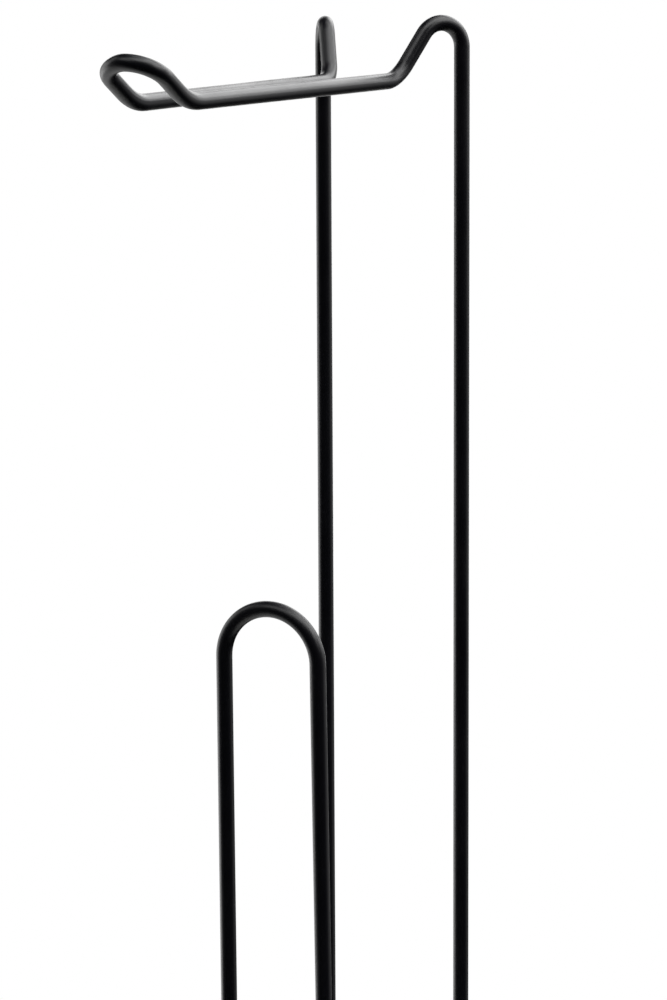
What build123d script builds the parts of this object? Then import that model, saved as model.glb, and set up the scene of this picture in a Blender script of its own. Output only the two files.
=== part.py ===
from build123d import *
from math import asin, atan2, cos, degrees, hypot, radians, sin, sqrt, tan
import os

# Free-standing toilet paper holder, bent and welded from one gauge of round steel wire.
# Origin: the middle of the base ring, on the floor. +Z is up, the roll arm points to -Y,
# the two posts stand at the back, at +Y. All sizes are in millimetres.

# Wire
wire_d = 5.2  # 5 mm round wire with its powder coat, the same throughout
weld_set = 0.6  # how far two crossing wires sink into each other when they are welded
cut_end_chamfer = 0.6  # a cut wire end is broken this much

# Posts and hooks
total_height = 610.0  # floor to the top of the hooks
post_spacing = 51.0  # between the posts' centrelines
post_bend_r = 8.0  # post into floor runner
runner_heel = 3.3  # straight runner behind the ring's centreline, before that bend
runner_toe = 4.0  # runner past the ring's centreline at the front
hook_bend_r = 8.1  # over the top of the hook
hook_reach = 21.3  # from the posts forward to the bend into the arm
arm_bend_r = 11.3  # hook into arm

# Roll arm
arm_drop = 18.1  # arm's centreline below the hook's highest centreline
arm_rear_spacing = 24.0  # between the two arm wires at the hooks
arm_front_spacing = 18.0  # between the two arm wires at the tip
arm_length = 133.6  # from the bend at the hooks to the bend at the tip
tip_bend_r = 23.8  # arm into upturned tip
tip_rise = 31.3  # degrees above level
tip_straight = 14.4  # from the tip's bend to its rounded end

# Spare-roll loop
loop_drop = 181.4  # loop's top centreline below the hook's highest centreline
loop_top_spacing = 33.5  # across the round top, between centrelines
loop_base_spacing = 37.4  # between the legs where they turn outwards
loop_base_bend_r = 6.0  # leg into spreader
loop_lean = 0.92  # degrees that the loop leans forward

# Base ring
ring_r = 82.0  # ring's centreline

# Welds
weld_bead_r = 2.9  # half the width of the bead at a crossing
collar_bead_r = 3.4  # half the width of the bead round each spreader's end

# Rubber feet
pad_t = 3.0  # rubber under the wire
pad_w = 9.0  # across the ring
pad_length = 18.0  # along the ring, over the rounded ends
pad_angle = 35.0  # from the front and back directions
pad_clearance = 0.05  # around the wire
pad_mouth = 4.4  # narrower than the wire, so that the foot snaps on
pad_lip = 1.6  # lips above the wire's centre
pad_bottom_fillet = 0.8
pad_top_fillet = 1.4

# Heights that follow from these
wire_r = wire_d / 2
cross_rise = wire_d - weld_set
ring_z = pad_t + wire_r
runner_z = ring_z + cross_rise
hook_top_z = total_height - wire_r
arm_z = hook_top_z - arm_drop
loop_top_z = hook_top_z - loop_drop

os.makedirs("parts", exist_ok=True)


# Base ring: one wire closed to a full circle
with BuildPart() as base_ring:
    with BuildSketch(Plane.XZ):
        with Locations((ring_r, ring_z)):
            Circle(wire_r)
    revolve(axis=Axis.Z)

base_ring.part.label = "base_ring"
export_step(base_ring.part, "parts/base_ring.step")


# Spare-roll loop: a flat bent wire in a plane that leans forward, with its top above the
# middle of the ring. The legs are tangent to the round top, and at the base they turn
# outwards into level spreaders whose ends butt against the inside of the ring.
lean = radians(loop_lean)
spreader_y = (loop_top_z - ring_z) * tan(lean)
loop_plane = Plane(origin=(0, spreader_y, ring_z), x_dir=(1, 0, 0), z_dir=(0, -cos(lean), -sin(lean)))
loop_rise = (loop_top_z - ring_z) / cos(lean)
loop_r = loop_top_spacing / 2
loop_base_x = loop_base_spacing / 2
leg_rise = loop_rise - loop_r
leg_splay = atan2(loop_base_x, leg_rise) - asin(loop_r / hypot(loop_base_x, leg_rise))
shoulder_x = loop_r * cos(leg_splay)
shoulder_rise = leg_rise + loop_r * sin(leg_splay)
ring_inside_x = sqrt((ring_r - wire_r) ** 2 - spreader_y**2)
spreader_end_x = ring_inside_x + weld_set

with BuildPart() as reserve_loop:
    with BuildLine(loop_plane) as loop_path:
        right_leg = FilletPolyline(
            (spreader_end_x, 0),
            (loop_base_x, 0),
            (shoulder_x, shoulder_rise),
            radius=loop_base_bend_r,
        )
        ThreePointArc((shoulder_x, shoulder_rise), (0, loop_rise), (-shoulder_x, shoulder_rise))
        mirror(right_leg, about=Plane.YZ)
    with BuildSketch(Plane(origin=(spreader_end_x, spreader_y, ring_z), z_dir=(-1, 0, 0))):
        Circle(wire_r)
    sweep(path=loop_path.wires()[0])
    add(base_ring.part, mode=Mode.SUBTRACT)

reserve_loop.part.label = "reserve_loop"
export_step(reserve_loop.part, "parts/reserve_loop.step")


# Upright frame: one wire from the front end of the right runner, back along the floor, up
# the post, over the hook, along the arm, around the tip and the same way back on the left.
# The hook lies in the upright plane through the post and the arm's first bend. Its straight
# flank is tangent to the round top, and apex is where the flank would meet the post.
post_x = post_spacing / 2
arm_rear_x = arm_rear_spacing / 2
arm_front_x = arm_front_spacing / 2
ring_crossing_y = sqrt(ring_r**2 - post_x**2)
post_y = ring_crossing_y + runner_heel + post_bend_r
arm_rear_y = post_y - hook_reach
arm_front_y = arm_rear_y - arm_length

hook_run = hypot(hook_reach, post_x - arm_rear_x)
past_centre = hook_run - hook_bend_r
centre_rise = arm_drop - hook_bend_r
hook_slope = atan2(past_centre, centre_rise) - asin(hook_bend_r / hypot(past_centre, centre_rise))

runner_end = Vector(post_x, -ring_crossing_y - runner_toe, runner_z)
post_foot = Vector(post_x, post_y, runner_z)
apex = Vector(post_x, post_y, arm_z + hook_run / tan(hook_slope))
arm_rear = Vector(arm_rear_x, arm_rear_y, arm_z)
arm_front = Vector(arm_front_x, arm_front_y, arm_z)
tip_way = Vector(0, -cos(radians(tip_rise)), sin(radians(tip_rise)))
tip_start = arm_front + tip_way * tip_straight
tip_crown = Vector(0, tip_start.Y, tip_start.Z) + tip_way * arm_front_x

with BuildPart() as upright_frame:
    with BuildLine() as frame_path:
        right_half = FilletPolyline(
            runner_end,
            post_foot,
            apex,
            arm_rear,
            arm_front,
            tip_start,
            radius=[post_bend_r, hook_bend_r, arm_bend_r, tip_bend_r],
        )
        ThreePointArc(tip_start, tip_crown, (-tip_start.X, tip_start.Y, tip_start.Z))
        mirror(right_half, about=Plane.YZ)
    with BuildSketch(Plane(origin=runner_end, z_dir=(0, 1, 0))):
        Circle(wire_r)
    sweep(path=frame_path.wires()[0])
    cut_ends = upright_frame.faces().filter_by(GeomType.PLANE)
    chamfer(cut_ends.edges(), length=cut_end_chamfer)
    add(base_ring.part, mode=Mode.SUBTRACT)
    add(reserve_loop.part, mode=Mode.SUBTRACT)

upright_frame.part.label = "upright_frame"
export_step(upright_frame.part, "parts/upright_frame.step")


# Welds where the runners lie on the ring: a bead squeezed out all round each contact
weld_z = ring_z + cross_rise / 2

with BuildPart() as ring_welds:
    with GridLocations(post_spacing, 2 * ring_crossing_y, 2, 2):
        with Locations((0, 0, weld_z)):
            Sphere(weld_bead_r)
    add(base_ring.part, mode=Mode.SUBTRACT)
    add(upright_frame.part, mode=Mode.SUBTRACT)

ring_welds.part.label = "ring_welds"
export_step(ring_welds.part, "parts/ring_welds.step")


# Welds where the runners lie on the loop's spreaders
with BuildPart() as crossing_welds:
    with GridLocations(post_spacing, 0, 2, 1):
        with Locations((0, spreader_y, weld_z)):
            Sphere(weld_bead_r)
    add(reserve_loop.part, mode=Mode.SUBTRACT)
    add(upright_frame.part, mode=Mode.SUBTRACT)

crossing_welds.part.label = "crossing_welds"
export_step(crossing_welds.part, "parts/crossing_welds.step")


# Welds where the spreaders butt against the ring: a collar bead round each wire end
with BuildPart() as spreader_welds:
    with GridLocations(2 * ring_inside_x, 0, 2, 1):
        with Locations((0, spreader_y, ring_z)):
            Sphere(collar_bead_r)
    add(base_ring.part, mode=Mode.SUBTRACT)
    add(reserve_loop.part, mode=Mode.SUBTRACT)

spreader_welds.part.label = "spreader_welds"
export_step(spreader_welds.part, "parts/spreader_welds.step")


# Rubber feet: each follows the ring's curve, grips the wire from below and is flat underneath
pad_half_arc = degrees((pad_length - pad_w) / 2 / ring_r)
pad_top_z = ring_z + pad_lip
pad_directions = {
    "foot_front_right": -90 + pad_angle,
    "foot_rear_right": 90 - pad_angle,
    "foot_rear_left": 90 + pad_angle,
    "foot_front_left": -90 - pad_angle,
}

for pad_name, pad_direction in pad_directions.items():
    with BuildPart() as pad:
        with BuildSketch():
            with BuildLine(mode=Mode.PRIVATE) as pad_spine:
                CenterArc((0, 0), ring_r, pad_direction - pad_half_arc, 2 * pad_half_arc)
            SlotArc(pad_spine.edge(), pad_w)
        extrude(amount=pad_top_z)
        fillet(pad.edges().group_by(Axis.Z)[0], pad_bottom_fillet)
        fillet(pad.edges().group_by(Axis.Z)[-1], pad_top_fillet)
        with BuildSketch(Plane.XZ):
            with Locations((ring_r, ring_z)):
                Circle(wire_r + pad_clearance)
            with Locations((ring_r, ring_z + pad_lip / 2)):
                Rectangle(pad_mouth, pad_lip)
        revolve(axis=Axis.Z, mode=Mode.SUBTRACT)
    pad.part.label = pad_name
    export_step(pad.part, f"parts/{pad_name}.step")
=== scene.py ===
from math import asin, atan2, ceil, cos, hypot, pi, radians, sin, sqrt, tan

import bpy
from mathutils import Euler, Matrix, Vector


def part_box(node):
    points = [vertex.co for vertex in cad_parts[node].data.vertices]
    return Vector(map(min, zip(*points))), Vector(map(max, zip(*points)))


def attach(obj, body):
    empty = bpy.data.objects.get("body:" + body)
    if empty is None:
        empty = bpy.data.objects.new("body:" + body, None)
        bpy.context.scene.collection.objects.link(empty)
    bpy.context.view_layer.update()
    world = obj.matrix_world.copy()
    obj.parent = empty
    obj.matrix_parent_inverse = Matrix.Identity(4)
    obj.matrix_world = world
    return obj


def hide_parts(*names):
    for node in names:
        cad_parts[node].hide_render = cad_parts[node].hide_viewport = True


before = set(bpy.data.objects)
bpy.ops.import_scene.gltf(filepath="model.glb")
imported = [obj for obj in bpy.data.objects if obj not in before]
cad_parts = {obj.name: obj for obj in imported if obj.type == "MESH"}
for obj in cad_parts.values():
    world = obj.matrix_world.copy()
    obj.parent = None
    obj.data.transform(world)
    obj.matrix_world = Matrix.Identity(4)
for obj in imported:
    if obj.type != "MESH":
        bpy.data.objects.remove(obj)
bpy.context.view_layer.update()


# Base ring
# One length of 5 mm round steel wire, rolled to a circle, butt-welded and powder-coated
# together with the rest of the stand. The two runners lie on it and the spreaders butt inside it.
wire_r = 0.0026
wire_sides = 40
ring_low, ring_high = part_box("base_ring")
ring_z = (ring_low.z + ring_high.z) / 2
ring_r = ring_high.x - wire_r
ring_steps = 180
merge_distance = 0.000001

bpy.ops.object.select_all(action="DESELECT")
bpy.ops.mesh.primitive_circle_add(
    vertices=wire_sides,
    radius=wire_r,
    location=(ring_r, 0, ring_z),
    rotation=(pi / 2, 0, 0),
)
base_ring = bpy.context.object
base_ring.name = "base_ring_wire"
bpy.ops.object.transform_apply()
bpy.ops.object.mode_set(mode="EDIT")
bpy.ops.mesh.select_all(action="SELECT")
bpy.ops.mesh.spin(steps=ring_steps, angle=2 * pi, center=(0, 0, ring_z), axis=(0, 0, 1))
bpy.ops.mesh.select_all(action="SELECT")
bpy.ops.mesh.remove_doubles(threshold=merge_distance)
bpy.ops.mesh.normals_make_consistent(inside=False)


def pick(piece, kind, wanted):
    """Selects the faces, edges or vertices of a piece whose middle passes a test."""
    mesh = piece.data
    bpy.ops.object.mode_set(mode="EDIT")
    bpy.ops.mesh.select_mode(type=kind)
    bpy.ops.mesh.select_all(action="DESELECT")
    bpy.ops.object.mode_set(mode="OBJECT")
    if kind == "FACE":
        for face in mesh.polygons:
            face.select = wanted(face.center, face.normal)
    elif kind == "EDGE":
        for edge in mesh.edges:
            first, last = (mesh.vertices[i].co for i in edge.vertices)
            edge.select = wanted((first + last) / 2, last - first)
    else:
        for vertex in mesh.vertices:
            vertex.select = wanted(vertex.co, vertex.normal)
    bpy.ops.object.mode_set(mode="EDIT")


# The butt weld is ground down, so only a slight swelling of the wire is left of it
butt_weld_swell = 0.00012
butt_weld_half_width = wire_r / 4
pick(base_ring, "VERT", lambda place, normal: place.y > 0 and abs(place.x) < butt_weld_half_width)
bpy.ops.transform.shrink_fatten(value=butt_weld_swell)
bpy.ops.object.mode_set(mode="OBJECT")
bpy.ops.object.shade_smooth()


def linear(hex_colour):
    """Turns an sRGB hex colour into the linear values that a shader takes."""
    channels = [int(hex_colour[i : i + 2], 16) / 255 for i in (1, 3, 5)]
    return [c / 12.92 if c <= 0.04045 else ((c + 0.055) / 1.055) ** 2.4 for c in channels] + [1.0]


def add_node(tree, kind, inputs, **settings):
    """Adds a node. An input takes a plain value, or a link from another node's output."""
    made = tree.nodes.new(kind)
    for name, value in settings.items():
        setattr(made, name, value)
    for name, value in inputs.items():
        if isinstance(value, bpy.types.NodeSocket):
            tree.links.new(value, made.inputs[name])
        else:
            made.inputs[name].default_value = value
    return made


# Polyester powder coat, sprayed as dust and baked: a satin black skin with a faint orange peel
# and fine specks, a little glossier in some places than in others.
peel_size = 0.0011
speck_size = 0.00045
patch_size = 0.018
peel_height = 0.00004
speck_height = 0.00003
noise_low = 0.3
noise_high = 0.7
coat = bpy.data.materials.new("black_powder_coat")
coat.use_nodes = True
coat.node_tree.nodes.clear()
coat_place = add_node(coat.node_tree, "ShaderNodeTexCoord", {}).outputs["Object"]
peel = add_node(
    coat.node_tree,
    "ShaderNodeTexNoise",
    {"Vector": coat_place, "Scale": 1 / peel_size, "Detail": 1.0},
)
specks = add_node(
    coat.node_tree,
    "ShaderNodeTexNoise",
    {"Vector": coat_place, "Scale": 1 / speck_size, "Detail": 2.0, "Roughness": 0.6},
)
patches = add_node(
    coat.node_tree,
    "ShaderNodeTexNoise",
    {"Vector": coat_place, "Scale": 1 / patch_size, "Detail": 3.0},
)
coat_colour = add_node(
    coat.node_tree,
    "ShaderNodeMix",
    {"Factor": specks.outputs["Fac"], "A": linear("#06060a"), "B": linear("#0e0e15")},
    data_type="RGBA",
)
coat_roughness = add_node(
    coat.node_tree,
    "ShaderNodeMapRange",
    {
        "Value": patches.outputs["Fac"],
        "From Min": noise_low,
        "From Max": noise_high,
        "To Min": 0.29,
        "To Max": 0.37,
    },
)
peel_bump = add_node(
    coat.node_tree,
    "ShaderNodeBump",
    {"Strength": 0.35, "Distance": peel_height, "Height": peel.outputs["Fac"]},
)
speck_bump = add_node(
    coat.node_tree,
    "ShaderNodeBump",
    {
        "Strength": 0.3,
        "Distance": speck_height,
        "Height": specks.outputs["Fac"],
        "Normal": peel_bump.outputs["Normal"],
    },
)
coat_shader = add_node(
    coat.node_tree,
    "ShaderNodeBsdfPrincipled",
    {
        "Base Color": coat_colour.outputs["Result"],
        "Roughness": coat_roughness.outputs["Result"],
        "IOR": 1.52,
        "Normal": speck_bump.outputs["Normal"],
    },
)
add_node(coat.node_tree, "ShaderNodeOutputMaterial", {"Surface": coat_shader.outputs["BSDF"]})

base_ring.data.materials.append(coat)
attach(base_ring, "root")
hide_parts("base_ring")


# Spare-roll loop
# A hairpin of the same wire that stands inside the ring, leans a little forward and goes through
# the cores of the spare rolls. Its legs turn outwards at the bottom into spreaders welded to the ring.
loop_low, loop_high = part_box("reserve_loop")
loop_top_spacing = 0.0335
loop_base_spacing = 0.0374
loop_r = loop_top_spacing / 2
loop_base_x = loop_base_spacing / 2
loop_base_bend_r = 0.006
bend_step = radians(4)
run_step = 0.015
cut_end_round = 0.0006
wire_crease = radians(40)
middle_merge_distance = 0.00001
spreader_setback = wire_r / 2

spreader_end = Vector((loop_high.x - spreader_setback, loop_high.y - wire_r, ring_z))
loop_top = Vector((0, loop_low.y + wire_r, loop_high.z - wire_r))
loop_foot = Vector((0, spreader_end.y, ring_z))
loop_rise = (loop_top - loop_foot).length
leg_rise = loop_rise - loop_r
leg_splay = atan2(loop_base_x, leg_rise) - asin(loop_r / hypot(loop_base_x, leg_rise))
loop_corner_x = loop_r * tan((pi / 2 - leg_splay) / 2)


def push_wire(run):
    """Pushes the wire's end along a straight run, in steps short enough for well-shaped faces."""
    steps = ceil(run.length / run_step)
    for _ in range(steps):
        bpy.ops.mesh.extrude_region_move(TRANSFORM_OT_translate={"value": run / steps})


def bend_wire(name, corners, bend_radii):
    """Draws a wire as it is bent: its end is pushed along each straight and spun round each bend."""
    here = corners[0]
    along = (corners[1] - here).normalized()
    bpy.ops.object.select_all(action="DESELECT")
    bpy.ops.mesh.primitive_circle_add(
        vertices=wire_sides,
        radius=wire_r,
        location=here,
        rotation=along.to_track_quat("Z", "Y").to_euler(),
    )
    wire = bpy.context.object
    wire.name = name
    bpy.ops.object.transform_apply()
    bpy.ops.object.mode_set(mode="EDIT")
    bpy.ops.mesh.select_all(action="SELECT")
    for corner, following, bend_r in zip(corners[1:], corners[2:], bend_radii):
        onward = (following - corner).normalized()
        turn = along.angle(onward)
        setback = bend_r * tan(turn / 2)
        bend_start = corner - along * setback
        inward = (onward - along * along.dot(onward)).normalized()
        push_wire(bend_start - here)
        bpy.ops.mesh.spin(
            steps=ceil(turn / bend_step),
            angle=turn,
            center=bend_start + inward * bend_r,
            axis=onward.cross(along).normalized(),
        )
        here = corner + onward * setback
        along = onward
    push_wire(corners[-1] - here)
    bpy.ops.object.mode_set(mode="OBJECT")
    return wire


def mirror_wire(wire):
    """Adds the left half of a wire that was drawn up to the middle, and rounds off its cut ends."""
    mirror = wire.modifiers.new("left_half", "MIRROR")
    mirror.merge_threshold = middle_merge_distance
    bpy.ops.object.modifier_apply(modifier=mirror.name)
    bpy.ops.object.mode_set(mode="EDIT")
    bpy.ops.mesh.select_all(action="SELECT")
    bpy.ops.mesh.remove_doubles(threshold=merge_distance)
    bpy.ops.mesh.fill_holes(sides=wire_sides)
    bpy.ops.mesh.normals_make_consistent(inside=False)
    bpy.ops.mesh.select_mode(type="FACE")
    bpy.ops.mesh.select_face_by_sides(number=4, type="GREATER", extend=False)
    bpy.ops.mesh.region_to_loop()
    bpy.ops.mesh.bevel(offset=cut_end_round, segments=3)
    bpy.ops.object.mode_set(mode="OBJECT")


reserve_loop = bend_wire(
    "reserve_loop_wire",
    [
        spreader_end,
        loop_foot + Vector((loop_base_x, 0, 0)),
        loop_top + Vector((loop_corner_x, 0, 0)),
        loop_top,
    ],
    [loop_base_bend_r, loop_r],
)
mirror_wire(reserve_loop)
bpy.ops.object.shade_smooth_by_angle(angle=wire_crease)
reserve_loop.data.materials.append(coat)
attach(reserve_loop, "root")
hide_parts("reserve_loop")


# Upright frame
# One long wire: along the floor as a runner, up the post, over the hook, out along the arm to the
# upturned tip and the same way back. It is bent on formers before it is welded to the ring.
frame_low, frame_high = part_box("upright_frame")
post = Vector((frame_high.x - wire_r, frame_high.y - wire_r, 0))
runner_z = frame_low.z + wire_r
hook_top_z = frame_high.z - wire_r
post_bend_r = 0.008
runner_toe = 0.004
crossing_y = sqrt(ring_r**2 - post.x**2)
runner_front_y = -crossing_y - runner_toe

hook_reach = 0.0213
hook_bend_r = 0.0081
arm_drop = 0.0181
arm_bend_r = 0.0113
arm_rear_x = 0.012
arm_front_x = 0.009
arm_length = 0.1336
tip_bend_r = 0.0238
tip_rise = radians(31.3)
tip_straight = 0.0144
left_hook_sag = 0.00076
post_middle_z = hook_top_z / 2

arm_z = hook_top_z - arm_drop
hook_run = hypot(hook_reach, post.x - arm_rear_x)
past_centre = hook_run - hook_bend_r
centre_rise = arm_drop - hook_bend_r
hook_slope = atan2(past_centre, centre_rise) - asin(hook_bend_r / hypot(past_centre, centre_rise))
tip_way = Vector((0, -cos(tip_rise), sin(tip_rise)))
arm_rear = Vector((arm_rear_x, post.y - hook_reach, arm_z))
arm_front = Vector((arm_front_x, arm_rear.y - arm_length, arm_z))
tip_corner = arm_front + tip_way * (tip_straight + arm_front_x)

upright_frame = bend_wire(
    "upright_frame_wire",
    [
        Vector((post.x, runner_front_y, runner_z)),
        Vector((post.x, post.y, runner_z)),
        Vector((post.x, post.y, arm_z + hook_run / tan(hook_slope))),
        arm_rear,
        arm_front,
        tip_corner,
        Vector((0, tip_corner.y, tip_corner.z)),
    ],
    [post_bend_r, hook_bend_r, arm_bend_r, tip_bend_r, arm_front_x],
)
mirror_wire(upright_frame)

# The left hook came out of the bending a little lower than the right one
for vertex in upright_frame.data.vertices:
    if vertex.co.x < 0 and vertex.co.z > post_middle_z:
        towards_left = min(1, -vertex.co.x / arm_front_x)
        vertex.co.z -= left_hook_sag * sin(pi / 2 * towards_left) ** 2
bpy.ops.object.shade_smooth_by_angle(angle=wire_crease)
upright_frame.data.materials.append(coat)
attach(upright_frame, "root")
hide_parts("upright_frame")


# Welds
# Beads squeezed out where the runners are welded across the ring and the spreaders, and a rounder one
# where each spreader butts against the ring. They are made before coating, so the coat covers them too.
weld_bead_r = 0.0029
weld_bead_half_height = 0.85 * weld_bead_r
collar_bead_r = 0.0034
collar_bead_half_width = 0.8 * collar_bead_r
lump_size = 0.0016
lump_height = 0.0004
weld_z = (ring_z + runner_z) / 2
spreader_y = loop_foot.y
collar_x = sqrt((ring_r - wire_r) ** 2 - spreader_y**2)
weld_lumps = bpy.data.textures.new("weld_lumps", "CLOUDS")
weld_lumps.noise_scale = lump_size


def lay_beads(node, flattened, places):
    """Makes one bead of molten steel, copies it to each place and lets each set in its own lumps."""
    bpy.ops.object.select_all(action="DESELECT")
    bpy.ops.mesh.primitive_ico_sphere_add(subdivisions=4, radius=1)
    bpy.ops.transform.resize(value=flattened)
    first_bead = bpy.context.object
    for bead_name, place in places.items():
        bpy.ops.object.select_all(action="DESELECT")
        first_bead.select_set(True)
        bpy.context.view_layer.objects.active = first_bead
        bpy.ops.object.duplicate()
        bead = bpy.context.object
        bead.name = bead_name
        bead.location = place
        bpy.ops.object.transform_apply()
        lumps = bead.modifiers.new("lumps", "DISPLACE")
        lumps.texture = weld_lumps
        lumps.texture_coords = "GLOBAL"
        lumps.strength = lump_height
        bpy.ops.object.modifier_apply(modifier=lumps.name)
        bpy.ops.object.shade_smooth()
        bead.data.materials.append(coat)
        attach(bead, "root")
        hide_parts(node)
    bpy.data.objects.remove(first_bead)


lay_beads(
    "ring_welds",
    (weld_bead_r, weld_bead_r, weld_bead_half_height),
    {
        "ring_weld_front_right": (post.x, -crossing_y, weld_z),
        "ring_weld_rear_right": (post.x, crossing_y, weld_z),
        "ring_weld_rear_left": (-post.x, crossing_y, weld_z),
        "ring_weld_front_left": (-post.x, -crossing_y, weld_z),
    },
)
lay_beads(
    "crossing_welds",
    (weld_bead_r, weld_bead_r, weld_bead_half_height),
    {
        "crossing_weld_right": (post.x, spreader_y, weld_z),
        "crossing_weld_left": (-post.x, spreader_y, weld_z),
    },
)
lay_beads(
    "spreader_welds",
    (collar_bead_half_width, collar_bead_r, collar_bead_r),
    {
        "spreader_weld_right": (collar_x, spreader_y, ring_z),
        "spreader_weld_left": (-collar_x, spreader_y, ring_z),
    },
)


# Rubber feet
# Four clips of black rubber, moulded to the ring's curve. Each is pushed onto the ring from below, grips
# the wire with two lips, and has grooves across its sole so that it doesn't slide on wet tiles.
pad_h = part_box("foot_front_right")[1].z
pad_w = 0.009
pad_length = 0.018
pad_half_turn = pad_length / 2 / ring_r
pad_angle = radians(35)
pad_mouth = 0.0044
pad_clearance = 0.00005
pad_end_round = 0.97 * pad_w / 2
sole_round = 0.0008
lip_round = 0.0014
groove_spacing = 0.0032
groove_w = 0.0012
groove_depth = 0.0005
sole_level = sole_round / 4
crumb_size = 0.00002
rubber_crease = radians(35)
nearly = 0.99
grooves = [-groove_spacing, 0, groove_spacing]


def sweep_on_ring(name, width, height, middle_z, sides, half_turn, steps):
    """Spins a square or round section along the ring, equally far to both sides of the X axis."""
    bpy.ops.object.select_all(action="DESELECT")
    section_r = sqrt(0.5) if sides == 4 else 0.5
    bpy.ops.mesh.primitive_circle_add(vertices=sides, radius=section_r, fill_type="NGON")
    swept = bpy.context.object
    swept.name = name
    if sides == 4:
        swept.rotation_euler.z = pi / 4
        bpy.ops.object.transform_apply()
    swept.scale = (width, height, 1)
    swept.location = (ring_r * cos(half_turn), -ring_r * sin(half_turn), middle_z)
    swept.rotation_euler = (pi / 2, 0, -half_turn)
    bpy.ops.object.transform_apply()
    bpy.ops.object.mode_set(mode="EDIT")
    bpy.ops.mesh.select_all(action="SELECT")
    bpy.ops.mesh.spin(steps=steps, angle=2 * half_turn, center=(0, 0, 0), axis=(0, 0, -1))
    bpy.ops.mesh.select_all(action="SELECT")
    bpy.ops.mesh.remove_doubles(threshold=merge_distance)
    bpy.ops.mesh.fill_holes(sides=sides)
    bpy.ops.mesh.normals_make_consistent(inside=False)
    bpy.ops.object.mode_set(mode="OBJECT")
    return swept


def carve(piece, cutter):
    """Cuts one shape out of another."""
    cut = piece.modifiers.new("cut", "BOOLEAN")
    cut.object = cutter
    cut.solver = "EXACT"
    bpy.context.view_layer.objects.active = piece
    bpy.ops.object.modifier_apply(modifier=cut.name)
    bpy.data.objects.remove(cutter)


foot = sweep_on_ring("foot_rubber", pad_w, pad_h, pad_h / 2, sides=4, half_turn=pad_half_turn, steps=3)
pick(
    foot,
    "EDGE",
    lambda middle, along: abs(along.z) > pad_w / 2
    and abs(atan2(middle.y, middle.x)) > nearly * pad_half_turn,
)
bpy.ops.mesh.bevel(offset=pad_end_round, segments=8)
pick(foot, "FACE", lambda middle, normal: normal.z < -nearly)
bpy.ops.mesh.region_to_loop()
bpy.ops.mesh.bevel(offset=sole_round, segments=3)
pick(foot, "FACE", lambda middle, normal: normal.z > nearly)
bpy.ops.mesh.region_to_loop()
bpy.ops.mesh.bevel(offset=lip_round, segments=4)
for groove in grooves:
    for groove_edge in (groove - groove_w / 2, groove + groove_w / 2):
        pick(foot, "FACE", lambda middle, normal: normal.z < -nearly and middle.z < sole_level)
        bpy.ops.mesh.bisect(plane_co=(0, groove_edge, 0), plane_no=(0, 1, 0))
pick(
    foot,
    "FACE",
    lambda middle, normal: normal.z < -nearly
    and middle.z < sole_level
    and min(abs(middle.y - groove) for groove in grooves) < groove_w / 2,
)
bpy.ops.mesh.extrude_region_move(TRANSFORM_OT_translate={"value": (0, 0, groove_depth)})
bpy.ops.object.mode_set(mode="OBJECT")
bore = 2 * (wire_r + pad_clearance)
cut_half_turn = 2 * pad_half_turn
cut_steps = 24
carve(foot, sweep_on_ring("bore", bore, bore, ring_z, wire_sides, cut_half_turn, cut_steps))
carve(foot, sweep_on_ring("mouth", pad_mouth, bore, ring_z + bore / 2, 4, cut_half_turn, cut_steps))
bpy.ops.object.mode_set(mode="EDIT")
bpy.ops.mesh.select_all(action="SELECT")
bpy.ops.mesh.remove_doubles(threshold=crumb_size)
bpy.ops.object.mode_set(mode="OBJECT")

# Moulded rubber, straight from a lightly blasted mould: dull near-black with a fine even grain
grain_size = 0.0008
grain_height = 0.00005
rubber = bpy.data.materials.new("moulded_rubber")
rubber.use_nodes = True
rubber.node_tree.nodes.clear()
rubber_place = add_node(rubber.node_tree, "ShaderNodeTexCoord", {}).outputs["Object"]
rubber_grain = add_node(
    rubber.node_tree,
    "ShaderNodeTexNoise",
    {"Vector": rubber_place, "Scale": 1 / grain_size, "Detail": 3.0},
)
rubber_bump = add_node(
    rubber.node_tree,
    "ShaderNodeBump",
    {"Strength": 0.3, "Distance": grain_height, "Height": rubber_grain.outputs["Fac"]},
)
rubber_colour = add_node(
    rubber.node_tree,
    "ShaderNodeMix",
    {"Factor": rubber_grain.outputs["Fac"], "A": linear("#1b1b1b"), "B": linear("#2a2928")},
    data_type="RGBA",
)
rubber_roughness = add_node(
    rubber.node_tree,
    "ShaderNodeMapRange",
    {
        "Value": rubber_grain.outputs["Fac"],
        "From Min": noise_low,
        "From Max": noise_high,
        "To Min": 0.68,
        "To Max": 0.8,
    },
)
rubber_shader = add_node(
    rubber.node_tree,
    "ShaderNodeBsdfPrincipled",
    {
        "Base Color": rubber_colour.outputs["Result"],
        "Roughness": rubber_roughness.outputs["Result"],
        "IOR": 1.52,
        "Normal": rubber_bump.outputs["Normal"],
    },
)
add_node(rubber.node_tree, "ShaderNodeOutputMaterial", {"Surface": rubber_shader.outputs["BSDF"]})
foot.data.materials.append(rubber)

foot_directions = {
    "foot_front_right": pad_angle - pi / 2,
    "foot_rear_right": pi / 2 - pad_angle,
    "foot_rear_left": pi / 2 + pad_angle,
    "foot_front_left": -pi / 2 - pad_angle,
}
for foot_node, foot_direction in foot_directions.items():
    bpy.ops.object.select_all(action="DESELECT")
    foot.select_set(True)
    bpy.context.view_layer.objects.active = foot
    bpy.ops.object.duplicate()
    foot_copy = bpy.context.object
    foot_copy.name = foot_node + "_rubber"
    foot_copy.rotation_euler.z = foot_direction
    bpy.ops.object.transform_apply()
    bpy.ops.object.shade_smooth_by_angle(angle=rubber_crease)
    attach(foot_copy, "root")
    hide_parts(foot_node)
bpy.data.objects.remove(foot)


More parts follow.
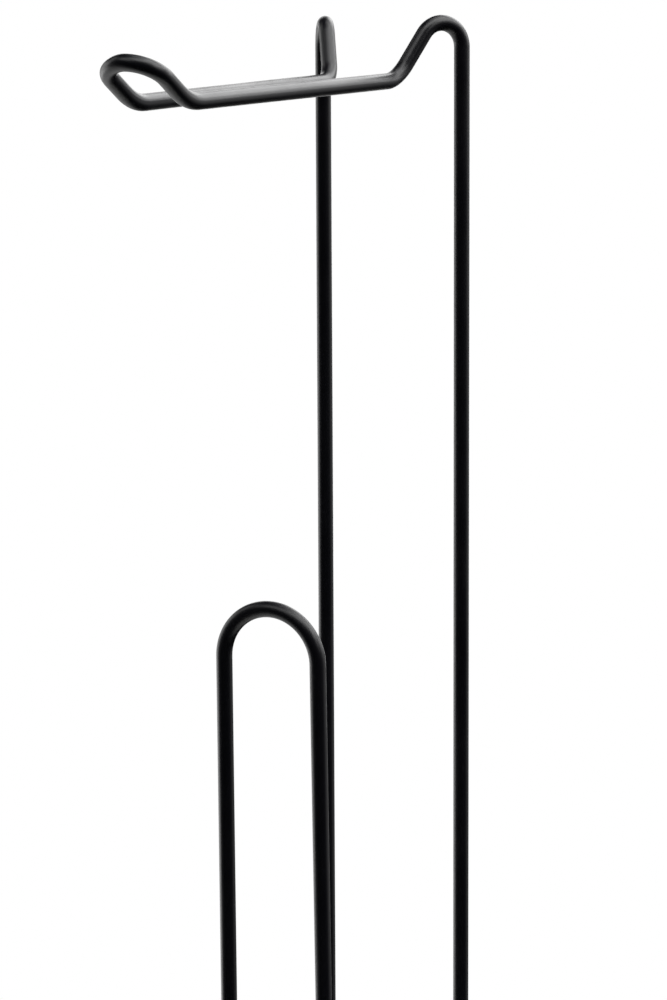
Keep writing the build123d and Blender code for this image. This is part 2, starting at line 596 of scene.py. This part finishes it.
# Camera
# The photograph was taken from the front right, a little above the arm, through a long lens.
camera_place = Vector((0.5072, -0.9565, 0.6474))
camera_azimuth = radians(26.861)
camera_pitch = radians(9.775)
camera_roll = radians(-0.289)
bpy.ops.object.camera_add(location=camera_place)
camera = bpy.context.object
turned = Euler((pi / 2 - camera_pitch, 0, camera_azimuth)).to_matrix()
camera.rotation_euler = (turned @ Matrix.Rotation(camera_roll, 3, "Z")).to_euler()
camera.data.sensor_width = 36
camera.data.lens = 125.66
camera.data.clip_start = 0.05
bpy.context.scene.camera = camera


# Floor
# A pale floor that takes the stand's shadow and fades into the white a little further out.
floor_r = 0.8
floor_gap = 0.0001
floor_fade_start = 0.12
floor_fade_end = 0.3
bpy.ops.object.select_all(action="DESELECT")
bpy.ops.mesh.primitive_circle_add(
    vertices=128,
    radius=floor_r,
    fill_type="NGON",
    location=(0, 0, -floor_gap),
)
floor = bpy.context.object
floor.name = "floor"
floor_paint = bpy.data.materials.new("pale_floor")
floor_paint.use_nodes = True
floor_paint.node_tree.nodes.clear()
floor_place = add_node(floor_paint.node_tree, "ShaderNodeTexCoord", {}).outputs["Object"]
floor_reach = add_node(floor_paint.node_tree, "ShaderNodeVectorMath", {0: floor_place}, operation="LENGTH")
floor_fade = add_node(
    floor_paint.node_tree,
    "ShaderNodeMapRange",
    {"Value": floor_reach.outputs["Value"], "From Min": floor_fade_start, "From Max": floor_fade_end},
    interpolation_type="SMOOTHSTEP",
)
floor_diffuse = add_node(floor_paint.node_tree, "ShaderNodeBsdfDiffuse", {"Color": linear("#f4f4f2")})
floor_clear = add_node(floor_paint.node_tree, "ShaderNodeBsdfTransparent", {})
floor_mix = add_node(
    floor_paint.node_tree,
    "ShaderNodeMixShader",
    {0: floor_fade.outputs["Result"], 1: floor_diffuse.outputs["BSDF"], 2: floor_clear.outputs["BSDF"]},
)
add_node(floor_paint.node_tree, "ShaderNodeOutputMaterial", {"Surface": floor_mix.outputs["Shader"]})
floor.data.materials.append(floor_paint)


# Light
# A dark studio with ten softboxes. The coat mirrors the white background behind the stand, a dimmer
# white wall on the right and a white table top low on the left. The camera itself sees white all round.
room_level = 0.01
white_level = 1.0
world = bpy.data.worlds.new("studio")
bpy.context.scene.world = world
world.use_nodes = True
world.node_tree.nodes.clear()
mirrored_whites = {
    "background": {"way": (-0.38, 0.92, 0.08), "core": radians(5), "edge": radians(35), "level": 1.0},
    "right_wall": {"way": (0.62, 0.72, 0.28), "core": radians(20), "edge": radians(48), "level": 0.5},
    "table_top": {"way": (-0.70, 0.15, -0.70), "core": radians(20), "edge": radians(50), "level": 1.0},
}
sky_way = add_node(world.node_tree, "ShaderNodeTexCoord", {}).outputs["Generated"]
whites = 0.0
for mirrored_white in mirrored_whites.values():
    facing = add_node(
        world.node_tree,
        "ShaderNodeVectorMath",
        {0: sky_way, 1: Vector(mirrored_white["way"]).normalized()},
        operation="DOT_PRODUCT",
    )
    patch = add_node(
        world.node_tree,
        "ShaderNodeMapRange",
        {
            "Value": facing.outputs["Value"],
            "From Min": cos(mirrored_white["edge"]),
            "From Max": cos(mirrored_white["core"]),
            "To Max": mirrored_white["level"],
        },
        interpolation_type="SMOOTHSTEP",
    )
    whites = add_node(
        world.node_tree,
        "ShaderNodeMath",
        {0: whites, 1: patch.outputs["Result"]},
        operation="MAXIMUM",
    ).outputs["Value"]
ray = add_node(world.node_tree, "ShaderNodeLightPath", {})
mirrored = add_node(
    world.node_tree,
    "ShaderNodeMath",
    {0: ray.outputs["Is Glossy Ray"], 1: ray.outputs["Is Transmission Ray"]},
    operation="MAXIMUM",
)
white_part = add_node(
    world.node_tree,
    "ShaderNodeMath",
    {0: mirrored.outputs["Value"], 1: whites, 2: ray.outputs["Is Camera Ray"]},
    operation="MULTIPLY_ADD",
    use_clamp=True,
)
room = add_node(world.node_tree, "ShaderNodeBackground", {"Color": (1, 1, 1, 1), "Strength": room_level})
white = add_node(world.node_tree, "ShaderNodeBackground", {"Color": (1, 1, 1, 1), "Strength": white_level})
seen = add_node(
    world.node_tree,
    "ShaderNodeMixShader",
    {0: white_part.outputs["Value"], 1: room.outputs["Background"], 2: white.outputs["Background"]},
)
add_node(world.node_tree, "ShaderNodeOutputWorld", {"Surface": seen.outputs["Shader"]})

# Each softbox stands in its own direction from the roll arm, and all are equally far away
softboxes = {
    "behind": {"way": (-0.38, 0.92, 0.08), "width": 1.7, "height": 1.7, "radiance": 0.95},
    "back_high": {"way": (0.10, 0.85, 0.50), "width": 1.5, "height": 1.2, "radiance": 3.0},
    "back_right": {"way": (0.58, 0.74, 0.32), "width": 1.4, "height": 1.3, "radiance": 2.0},
    "top_right": {"way": (0.60, 0.24, 0.76), "width": 1.7, "height": 1.7, "radiance": 3.1},
    "top": {"way": (0.12, 0.30, 0.95), "width": 1.4, "height": 1.4, "radiance": 1.5},
    "top_front": {"way": (0.27, -0.36, 0.88), "width": 1.6, "height": 1.3, "radiance": 2.65},
    "front_high": {"way": (-0.27, -0.65, 0.70), "width": 1.4, "height": 1.0, "radiance": 1.5},
    "right": {"way": (0.86, -0.04, 0.50), "width": 1.3, "height": 1.2, "radiance": 1.3},
    "left_high": {"way": (-0.84, -0.10, 0.53), "width": 1.3, "height": 1.0, "radiance": 0.7},
    "left": {"way": (-0.95, 0.10, -0.10), "width": 1.9, "height": 1.9, "radiance": 1.4},
}
softbox_distance = 2.2
softbox_aim = Vector((0, 0, arm_z))
for softbox_name, softbox in softboxes.items():
    way = Vector(softbox["way"]).normalized()
    bpy.ops.object.light_add(type="AREA", location=softbox_aim + way * softbox_distance)
    lamp = bpy.context.object
    lamp.name = "softbox_" + softbox_name
    lamp.rotation_euler = way.to_track_quat("Z", "Y").to_euler()
    lamp.data.shape = "RECTANGLE"
    lamp.data.size = softbox["width"]
    lamp.data.size_y = softbox["height"]
    lamp.data.energy = softbox["radiance"] * pi * softbox["width"] * softbox["height"]
    lamp.visible_camera = False


bpy.context.scene.view_settings.view_transform = "Standard"
